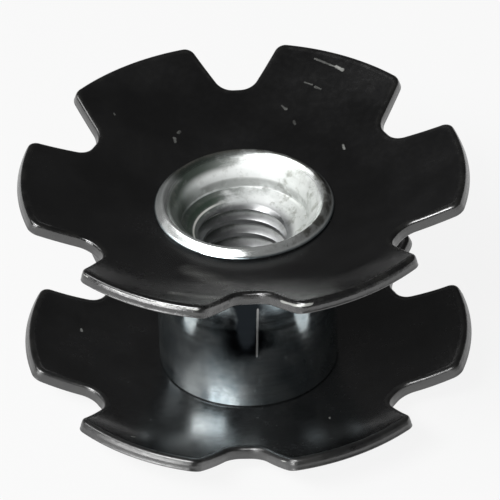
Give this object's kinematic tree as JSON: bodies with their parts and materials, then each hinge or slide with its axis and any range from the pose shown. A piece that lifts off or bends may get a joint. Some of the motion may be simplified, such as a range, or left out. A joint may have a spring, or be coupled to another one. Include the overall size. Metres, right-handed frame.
{
  "type": "star nut",
  "caption": "Star nut for a threadless steerer tube: a threaded sleeve flared over dished, slotted spring stars that bite the tube wall.",
  "frame": {"origin": "on the nut's axis, at the level of the lower flared lip that the nut rests on", "axes": "+Z along the thread axis towards the upper star, with a slot of each star near +Y and -Y"},
  "size_m": [0.0268, 0.0262, 0.0148],
  "materials": {
    "black_spring_steel": "black coated spring steel, satin gloss, rubbed bright at some cut edges",
    "zinc_plated_steel": "bright zinc plate over turned steel"
  },
  "bodies": {
    "root": {"upper_star": "black_spring_steel", "lower_star": "black_spring_steel", "nut": "zinc_plated_steel"}
  },
  "joints": []
}
